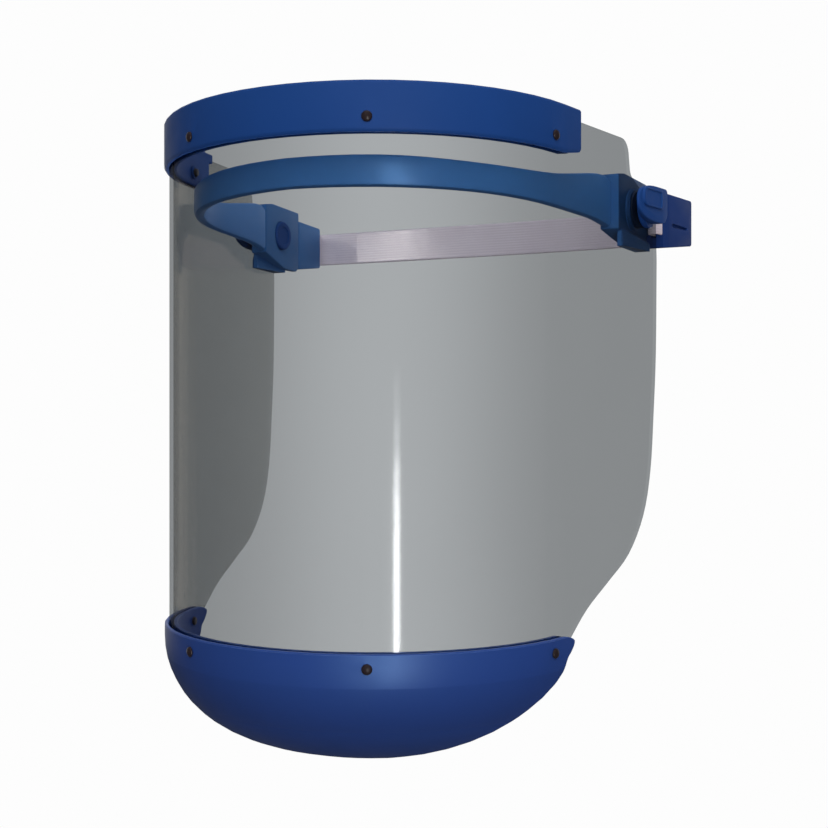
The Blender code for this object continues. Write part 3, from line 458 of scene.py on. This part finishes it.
steep = add(tree, "Math", {0: facing, 1: STEEP_POWER}, operation="POWER")
round_side = add(tree, "MapRange", {"Value": steep, "To Min": ROUND_MIRRORS[0],
                                    "To Max": ROUND_MIRRORS[1]})
hollow_side = add(tree, "MapRange", {"Value": steep, "From Max": HOLLOW_STEEP,
                                     "To Min": HOLLOW_MIRRORS[0],
                                     "To Max": HOLLOW_MIRRORS[1]})
mirrored = add(tree, "Mix", {0: hollow, 2: round_side, 3: hollow_side})
blur = add(tree, "MapRange", {"Value": hollow, "To Min": ROUND_BLUR, "To Max": HOLLOW_BLUR})
cast = add(tree, "Mix", {0: hollow, 6: linear("FFFFFF"), 7: linear("FFF1E0")},
           data_type="RGBA")
# a faint roll mark, 60 mm wide and far too shallow to feel, keeps the reflection alive
rolled = add(tree, "TexNoise", {"Vector": place, "Scale": per_mm(60), "Detail": 0.0})
ripple = add(tree, "Bump", {"Height": rolled.outputs["Fac"], "Distance": 0.04 * MM,
                            "Strength": 0.3})
shine = add(tree, "BsdfGlossy", {"Color": cast.outputs[2], "Roughness": blur,
                                 "Normal": ripple})
print("mirrors, round side and hollow side:", ROUND_MIRRORS, HOLLOW_MIRRORS)

# %% [markdown]
# Light falls through the sheet untinted, as its shadow is too pale to matter, and the
# pieces behind it stay clear to see. So shadow rays and diffuse rays meet a clear sheet,
# and all other rays the tinted one with its reflection.

# %% Light through the window
sheet = add(tree, "MixShader", {0: mirrored, 1: pass_on, 2: shine})
clear = add(tree, "BsdfTransparent", {"Color": linear("FFFFFF")})
rays = add(tree, "LightPath").outputs
for_light = add(tree, "Math", {0: rays["Is Shadow Ray"], 1: rays["Is Diffuse Ray"]},
                operation="MAXIMUM")
whole = add(tree, "MixShader", {0: for_light, 1: sheet, 2: clear})
add(tree, "OutputMaterial", {"Surface": whole})
window_finish = made
print("window finish:", window_finish.name)

# %% [markdown]
# ## The blue mouldings: nylon, injection moulded against a fine spark texture
# The band, the guard, the bow and the pivots are nylon coloured right through. A steel
# mould with a fine spark-eroded texture leaves a satin surface, so the highlights are
# broad and soft. The plastic flows into the mould from one gate and cools unevenly, which
# shows as slow changes of tone and gloss over a few centimetres. Edges are worn a little
# smoother and paler by handling. One function is to make the whole family, so its two
# special cases come first. The brackets and the strap blocks get painted light and shade:
# a lighter blue is painted as light on the head's side, which is seen through the tinted
# window, and a deeper blue is painted outside as shade. The test is how far out a point
# lies, measured from a plane that flares with the sides of the shield, and which way its
# surface looks. The guard has a faint crease where its upright wall turns into the bowl.

# %% Painted light and shade, and a crease
FLARE = math.radians(9.0)     # the sides of the shield stand open by this angle
BRACKET_LIT_REACH = 0.1141        # how far out the painted lighter blue reaches on a bracket
BLOCK_LIT_REACH = 0.1081          # and on a strap block
LOOKS_OUT = 0.3               # a surface turned outwards by more than this is outer
GUARD_CREASE = -0.2295        # height of the crease
CREASE_REACH, CREASE_LEAN = 0.022, 0.0022  # below it the wall leans in by 1 in 10


def painted_light_and_shade(tree, place, body, lit_inner_colour, reach, flare):
    """The body's colour, as painted shade, outside; a lighter one, as painted light, on the
    head's side.
    """
    parts = add(tree, "SeparateXYZ", {0: place}).outputs
    out = add(tree, "Math", {0: parts["X"]}, operation="ABSOLUTE")
    out = add(tree, "Math", {0: parts["Y"], 1: -math.tan(flare), 2: out},
              operation="MULTIPLY_ADD")
    far_out = add(tree, "Math", {0: out, 1: reach}, operation="GREATER_THAN")
    side = add(tree, "Math", {0: parts["X"]}, operation="SIGN")
    normal = add(tree, "TexCoord").outputs["Normal"]
    turned = add(tree, "SeparateXYZ", {0: normal}).outputs["X"]
    turned = add(tree, "Math", {0: turned, 1: side}, operation="MULTIPLY")
    turned = add(tree, "Math", {0: turned, 1: LOOKS_OUT}, operation="GREATER_THAN")
    # painted light inside, painted shade outside: outer faces keep the darker body colour
    outer = add(tree, "Math", {0: far_out, 1: turned}, operation="MAXIMUM")
    return add(tree, "Mix", {0: outer, 6: linear(lit_inner_colour), 7: body.outputs[2]},
               data_type="RGBA")


def creased_wall(tree, place, under, crease):
    """The surface leans in a little more below this height."""
    height = add(tree, "SeparateXYZ", {0: place}).outputs["Z"]
    lean = add(tree, "MapRange", {"Value": height, "From Min": crease - CREASE_REACH,
                                  "From Max": crease})
    return add(tree, "Bump", {"Height": lean, "Normal": under, "Strength": 1.0,
                              "Distance": CREASE_LEAN})


print("painted lighter blue reaches", BRACKET_LIT_REACH, BLOCK_LIT_REACH, "crease at", GUARD_CREASE)

# %% [markdown]
# To find the edges, the Bevel node gives the direction that a slightly rounded edge would
# have, and where it differs from the real surface there is an edge to wear. Handling
# never wears an edge evenly, so a patchy noise breaks the wear up. On the guard the edge
# colour is pale enough to be partly a painted highlight along its rim.

# %% Worn edges, with a painted highlight on the guard's rim
EDGE_RADIUS = 0.6 * MM
EDGE_TURN = (0.995, 0.80)     # cosines between the two directions: no wear, and full wear


def edge_wear_and_highlight(tree, place, soft, body, wear_and_highlight):
    """The body's colour, with another on its edges."""
    sharp = add(tree, "NewGeometry").outputs["Normal"]
    along = add(tree, "VectorMath", {0: soft, 1: sharp}, operation="DOT_PRODUCT")
    edge = add(tree, "MapRange", {"Value": along.outputs["Value"],
                                  "From Min": EDGE_TURN[0], "From Max": EDGE_TURN[1]})
    patchy = add(tree, "TexNoise", {"Vector": place, "Scale": per_mm(5), "Detail": 3.0})
    edge = add(tree, "Math", {0: edge, 1: patchy.outputs["Fac"]}, operation="MULTIPLY")
    return add(tree, "Mix", {0: edge, 6: body.outputs[2], 7: linear(wear_and_highlight)},
               data_type="RGBA")


print("edges worn within", EDGE_RADIUS)

# %% [markdown]
# Nylon reflects like most plastics, with an IOR of 1.53, but the spark texture breaks up
# the sharp part of the reflection, so its strength is turned down and the roughness
# stands at the middle of the scale.

# %% Moulded nylon
NYLON_IOR = 1.53
FLOW = (0.3, 0.7)             # the part of the noise's range that is used
TONE_DRIFT = 0.35             # how far the tone goes towards its darker shade
GLOSS_DRIFT = (-0.05, 0.06)   # how the roughness changes with it


def moulded_nylon(name, colour, shade, wear_and_highlight, roughness=0.50, shine=0.12, painted_inside=None,
                  crease=None):
    """Satin moulded plastic: body colour, its darker shade, and its edge colour,
    which is wear, and on the guard also a painted highlight.
    """
    made, tree, place = start_material(name)
    flow = add(tree, "TexNoise", {"Vector": place, "Scale": per_mm(38), "Detail": 2.0,
                                  "Distortion": 0.6}).outputs["Fac"]
    tone = add(tree, "MapRange", {"Value": flow, "From Min": FLOW[0], "From Max": FLOW[1],
                                  "To Min": 0.0, "To Max": TONE_DRIFT})
    gloss = add(tree, "MapRange", {"Value": flow, "From Min": FLOW[0], "From Max": FLOW[1],
                                   "To Min": roughness + GLOSS_DRIFT[0],
                                   "To Max": roughness + GLOSS_DRIFT[1]})
    body = add(tree, "Mix", {0: tone, 6: linear(colour), 7: linear(shade)},
               data_type="RGBA")
    # where asked for: painted light on the head's side and painted shade outside
    if painted_inside:
        body = painted_light_and_shade(tree, place, body, *painted_inside)
    soft = add(tree, "Bevel", {"Radius": EDGE_RADIUS}, samples=6)
    body = edge_wear_and_highlight(tree, place, soft, body, wear_and_highlight)
    under = creased_wall(tree, place, soft, crease) if crease else soft
    # the spark texture is about 0.15 mm; it is drawn at 0.7 mm so that it shows at all
    grain = add(tree, "TexNoise", {"Vector": place, "Scale": per_mm(0.7), "Detail": 2.0})
    bump = add(tree, "Bump", {"Height": grain.outputs["Fac"], "Normal": under,
                              "Strength": 0.25, "Distance": 0.08 * MM})
    plastic = add(tree, "BsdfPrincipled", {"Base Color": body.outputs[2], "Roughness": gloss,
                                           "IOR": NYLON_IOR, "Specular IOR Level": shine,
                                           "Normal": bump})
    add(tree, "OutputMaterial", {"Surface": plastic})
    return made


print("nylon's IOR", NYLON_IOR)

# %% [markdown]
# The band and the knobs are the deepest blue. The bow is painted lighter, as painted light,
# because a tinted window always hangs in front of it, and it is smoother, so that it shines
# more. The guard is a little more violet, and its pale edges are partly wear and partly a
# painted highlight along its rim. The brackets and blocks have a blue like the bow's
# painted on the inside as light, and a deeper blue painted outside as shade.

# %% Blues
deep_blue = moulded_nylon("nylon_moulded_deep_blue", "1C4589", "19407F", "2C589C")
# the bow's blue is painted lighter, as painted light that makes up for the window's tint
lighter_blue = moulded_nylon("nylon_blue_painted_lighter", "4882C8", "427ABE", "5C90D0",
                             roughness=0.34)
# the guard's pale edge colour is partly wear and partly a painted highlight on its rim
guard_blue = moulded_nylon("nylon_moulded_guard_blue", "27448A", "234080", "7C98CC",
                           roughness=0.42, crease=GUARD_CREASE)
# brackets and blocks: a deeper blue painted outside as shade, a lighter blue painted inside
# as light
bracket_blue = moulded_nylon("nylon_moulded_bracket_painted_light_and_shade", "2A4C7A", "264570", "3A5EA0",
                             painted_inside=("3C6EAB", BRACKET_LIT_REACH, 0.0))
block_blue = moulded_nylon("nylon_moulded_block_painted_light_and_shade", "1C3A7A", "19346F", "2C4E94",
                           painted_inside=("4075B6", BLOCK_LIT_REACH, FLARE))
print("blue finishes:", deep_blue.name, lighter_blue.name, guard_blue.name,
      bracket_blue.name, block_blue.name)

# %% [markdown]
# ## The small parts
# The push rivets are dark brown-black nylon, a little glossier because their moulds are
# polished; their washers are blue. The pins and the friction washers are steel with a
# bright zinc plating, whose crystals scatter light slightly and give it a faint spangle.
# The hubs that the window turns on are dark blue acetal, a slippery plastic with a dull,
# slightly mottled face.

# %% Small materials
rivet_nylon = moulded_nylon("nylon_moulded_dark_brown", "2A2023", "1F191B", "4C3F40",
                            roughness=0.34, shine=0.3)

made, tree, place = start_material("steel_zinc_plated")
spangle = add(tree, "TexVoronoi", {"Vector": place, "Scale": per_mm(0.8)}).outputs["Distance"]
satin = add(tree, "MapRange", {"Value": spangle, "To Min": 0.26, "To Max": 0.42})
tone = add(tree, "Mix", {0: spangle, 6: linear("C9CBCE"), 7: linear("A9ACB2")},
           data_type="RGBA")
metal = add(tree, "BsdfPrincipled", {"Base Color": tone.outputs[2], "Metallic": 1.0,
                                     "Roughness": satin})
add(tree, "OutputMaterial", {"Surface": metal})
zinc = made

made, tree, place = start_material("acetal_moulded_dark_blue")
mottle = add(tree, "TexNoise", {"Vector": place, "Scale": per_mm(6), "Detail": 2.0})
tone = add(tree, "Mix", {0: mottle.outputs["Fac"], 6: linear("26334D"), 7: linear("1F2A42")},
           data_type="RGBA")
dull = add(tree, "MapRange", {"Value": mottle.outputs["Fac"], "To Min": 0.40, "To Max": 0.54})
plastic = add(tree, "BsdfPrincipled", {"Base Color": tone.outputs[2], "Roughness": dull,
                                       "IOR": 1.48, "Specular IOR Level": 0.25})
add(tree, "OutputMaterial", {"Surface": plastic})
acetal = made
print("small finishes:", rivet_nylon.name, zinc.name, acetal.name)

# %% [markdown]
# ## Dressing the CAD pieces
# Each CAD piece keeps its mesh and only gets a finish. The pieces are named for what they
# are, so the start of the name is enough to choose the material.

# %% Assign finishes
FINISHES = {
    "visor_window": window_finish,
    "brow_band": deep_blue, "brow_washer": deep_blue, "brow_rivet": rivet_nylon,
    "chin_guard": guard_blue, "chin_rivet": rivet_nylon,
    "carrier_bow": lighter_blue, "pivot_bracket": bracket_blue, "strap_block": block_blue,
    "pivot_knob": deep_blue, "pivot_stud": deep_blue, "outer_washer": deep_blue,
    "inner_hub": acetal, "friction_washer": zinc, "strap_pin": zinc,
}
for name, node in nodes.items():
    for start, finish in FINISHES.items():
        if name.startswith(start):
            for slot in node.material_slots:
                slot.link = "OBJECT"
                slot.material = finish
            break
    else:
        print("left to its replacement:", name)
print("finishes used:", len(set(FINISHES.values())))

# %% [markdown]
# ## The head strap: woven elastic
# A strap of this kind is rubber cores laid side by side, with polyester woven over and
# under them, so each face is a row of soft ribs and each edge is a firm round selvedge.
# It could be a flat ribbon with a bump map, but ribs catch light along a grazing view, so
# here they are modelled: one ribbed cross-section is swept along the strap's middle line.
# Each end is folded over in front of its block, and the fold is too thick to slip back
# through the slot. The weft threads across the ribs are much finer and stay in the
# material.

# %% Strap route
SIDE_X = 0.11303              # strap's middle where its side run would cross the tilt axis
FOLD_Y = 0.0231               # each end is folded back here, in front of its block
FOLD_RADIUS = 0.0026
FOLD_PARTS = 12
END_Y = 0.0267                # where the folded end stops, against the block
SIDE_Y = 0.042                # a point half way along the side run
CORNER_Y = 0.0628             # where it turns behind the block
TURN_RADIUS = 0.004
TURN_PARTS = 8
REAR_PARTS = 28


def strap_route():
    """Middle line from the folded end at the left block, round the back, to the right one."""
    outwards = Vector((math.cos(FLARE), -math.sin(FLARE), 0))
    back = Vector((math.sin(FLARE), math.cos(FLARE), 0))

    def side(y):
        return Vector((SIDE_X + y * math.tan(FLARE), y, 0))

    fold = side(FOLD_Y) + outwards * FOLD_RADIUS
    route = [fold + outwards * FOLD_RADIUS + back * (END_Y - FOLD_Y)]
    for i in range(FOLD_PARTS + 1):
        turn = math.pi * i / FOLD_PARTS
        route.append(fold + (outwards * math.cos(turn) - back * math.sin(turn)) * FOLD_RADIUS)
    route.append(side(SIDE_Y))
    centre = side(CORNER_Y) - outwards * TURN_RADIUS
    for i in range(TURN_PARTS + 1):
        turn = (math.pi / 2 + FLARE) * i / TURN_PARTS - FLARE
        route.append(centre + Vector((math.cos(turn), math.sin(turn), 0)) * TURN_RADIUS)
    last = route[-1]
    for i in range(1, REAR_PARTS // 2):
        route.append(Vector((last.x * (1 - 2 * i / REAR_PARTS), last.y, 0)))
    mirrored = [Vector((-p.x, p.y, 0)) for p in reversed(route)]
    return route + [Vector((0, last.y, 0))] + mirrored


route = strap_route()
along = [0.0]
for a, b in zip(route, route[1:]):
    along.append(along[-1] + (b - a).length)
print("strap length", round(along[-1], 4), "points", len(route))

# %% [markdown]
# The cross-section runs once round the strap: twelve ribs on the outer face, a round
# selvedge, twelve ribs on the inner face and the other selvedge. A rib is a sine arch
# with its top flattened, because the yarn wraps tightly round the rubber.

# %% Strap section
STRAP_WIDTH = 0.0202
STRAP_THICKNESS = 0.00136
RIBS = 12
RIB_DEPTH = 0.05 * MM
RIB_FLATNESS = 0.6            # a power under 1 broadens the tops and narrows the valleys
POINTS_PER_RIB = 5
SELVEDGE_TURNS = (0.6, 1.2, 1.95, 2.55)    # angles of the points round a selvedge


def strap_section():
    """Closed list of (outward, up) points round the ribbed section."""
    half, face = STRAP_WIDTH / 2, STRAP_THICKNESS / 2
    flat = half - face
    count = RIBS * POINTS_PER_RIB
    outer = []
    for i in range(count + 1):
        share = i / count
        lift = RIB_DEPTH * (abs(math.sin(math.pi * RIBS * share)) ** RIB_FLATNESS - 1)
        outer.append((face + lift, -flat + 2 * flat * share))
    top = [(face * math.cos(a), flat + face * math.sin(a)) for a in SELVEDGE_TURNS]
    inner = [(-x, z) for x, z in reversed(outer)]
    bottom = [(-x, -z) for x, z in top]
    return outer + top + inner + bottom


section = strap_section()
girth = [0.0]
for a, b in zip(section, section[1:] + section[:1]):
    girth.append(girth[-1] + math.dist(a, b))
print("strap girth", round(girth[-1], 4), "points", len(section))

# %% [markdown]
# Elastic under no load isn't ruler-straight, so the rear run sags, drifts and leans by a
# few tenths of a millimetre, and not at all at the blocks that hold it. The position
# along the strap and round it goes into a UV map, which the weave in the material reads.

# %% Strap at ease
STRAP_MIDDLE_Z = -0.0005
FREE_HALF = 0.112             # half the length that hangs free
DRIFT, DRIFT_WAVE = 0.0005, 41.0           # backwards and forwards; waves in radians per m
SAG = 0.0006
LEAN, LEAN_WAVE, LEAN_START = 0.00035, 33.0, 0.7


def strap_ring(i):
    """Points of the section where the strap passes point i of its route."""
    here = route[i]
    ahead = (route[min(i + 1, len(route) - 1)] - route[max(i - 1, 0)]).normalized()
    out = Vector((ahead.y, -ahead.x, 0))
    span = max(0.0, 1 - (here.x / FREE_HALF) ** 2)
    ease = Vector((0, DRIFT * math.sin(here.x * DRIFT_WAVE), -SAG * span))
    lean = LEAN * math.sin(here.x * LEAN_WAVE + LEAN_START) * span
    return [here + out * (x + lean * z / STRAP_WIDTH * 2) + ease
            + Vector((0, 0, z + STRAP_MIDDLE_Z)) for x, z in section]


print("strap sags by", SAG)

# %% [markdown]
# The rings are joined by four-sided faces, and each end is closed by one face across the
# whole section. Edges sharper than 60 degrees, such as those of the cut ends, stay crisp.

# %% Strap mesh
def head_strap():
    """The section swept along the route, closed at both ends."""
    bm = bmesh.new()
    uv = bm.loops.layers.uv.new("weave")
    rings = [[bm.verts.new(point) for point in strap_ring(i)] for i in range(len(route))]
    count = len(section)
    for i in range(len(rings) - 1):
        for k in range(count):
            j = (k + 1) % count
            face = bm.faces.new((rings[i][k], rings[i][j], rings[i + 1][j], rings[i + 1][k]))
            corners = ((i, k), (i, k + 1), (i + 1, k + 1), (i + 1, k))
            for loop, (s, g) in zip(face.loops, corners):
                loop[uv].uv = (along[s], girth[g])
    bm.faces.new(reversed(rings[0]))
    bm.faces.new(rings[-1])
    bmesh.ops.recalc_face_normals(bm, faces=bm.faces)
    mesh = bpy.data.meshes.new("woven_strap")
    bm.to_mesh(mesh)
    bm.free()
    mesh.shade_smooth()
    mesh.set_sharp_from_angle(angle=math.radians(60))
    piece = bpy.data.objects.new("woven_strap", mesh)
    bpy.context.scene.collection.objects.link(piece)
    return piece


strap = head_strap()
print("strap faces", len(strap.data.polygons))

# %% [markdown]
# The yarn is pale lilac polyester. Weft threads cross the ribs about every 0.4 mm; they
# are drawn at 0.8 mm, because finer ones wouldn't show. Between the ribs, where the weave
# dips, the colour is painted darker as shade, and loose filaments give the whole strap a
# faint sheen at a low angle.
# Polyester filament is also smooth and tightly packed, so a thin coat adds the silky
# streak that such a strap shows where it faces a lamp.

# %% Strap material
WEFT = 0.8 * MM

made, tree, place = start_material("elastic_woven_polyester")
weave = add(tree, "UVMap", uv_map="weave")
parts = add(tree, "SeparateXYZ", {0: weave}).outputs
weft = add(tree, "Math", {0: parts["X"], 1: 2 * math.pi / WEFT}, operation="MULTIPLY")
weft = add(tree, "Math", {0: weft}, operation="SINE")
rib = add(tree, "Math", {0: parts["Y"], 1: math.pi * RIBS / (STRAP_WIDTH - STRAP_THICKNESS)},
          operation="MULTIPLY")
rib = add(tree, "Math", {0: rib}, operation="SINE")
rib = add(tree, "Math", {0: rib}, operation="ABSOLUTE")
crossing = add(tree, "Math", {0: weft, 1: rib}, operation="MULTIPLY")
fuzz = add(tree, "TexNoise", {"Vector": place, "Scale": per_mm(0.5), "Detail": 3.0})
handled = add(tree, "TexNoise", {"Vector": place, "Scale": per_mm(22), "Detail": 2.0})
handled = add(tree, "MapRange", {"Value": handled.outputs["Fac"], "From Min": 0.45,
                                 "From Max": 0.75, "To Max": 0.25})
# painted shade: the yarn is darker between the ribs and lighter on their tops
yarn = add(tree, "Mix", {0: rib, 6: linear("E6DAE6"), 7: linear("F2E8F2")}, data_type="RGBA")
yarn = add(tree, "Mix", {0: handled, 6: yarn.outputs[2], 7: linear("D9C9D6")},
           data_type="RGBA")
height = add(tree, "Math", {0: crossing, 1: fuzz.outputs["Fac"]}, operation="ADD")
bump = add(tree, "Bump", {"Height": height, "Strength": 0.5, "Distance": 0.06 * MM})
dull = add(tree, "MapRange", {"Value": fuzz.outputs["Fac"], "To Min": 0.7, "To Max": 0.9})
cloth = add(tree, "BsdfPrincipled", {"Base Color": yarn.outputs[2], "Roughness": dull,
                                     "Specular IOR Level": 0.3, "Sheen Weight": 0.15,
                                     "Sheen Roughness": 0.4, "Coat Weight": 0.35,
                                     "Coat Roughness": 0.20, "Normal": bump})
add(tree, "OutputMaterial", {"Surface": cloth})
strap.data.materials.append(made)
print("weft threads", WEFT, "m apart")

# %% [markdown]
# The woven strap stands for the CAD strap, which stays as its hidden solid, and rides
# with the bow and the brackets. It has a narrow lamp of its own for the silky streak. The
# bow would stand in the way of that lamp, so only the strap itself may block it.

# %% Strap in place
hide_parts("head_strap")
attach(strap, "carrier")
streak, strap_only = glint("strap_glint", (-0.66, -0.995, 0.156), (-0.064, 0.067, 0),
                           (0.04, 0.5), 190.0, "FFF2EC", [strap])
streak.light_linking.blocker_collection = strap_only
print("strap rides on the carrier")
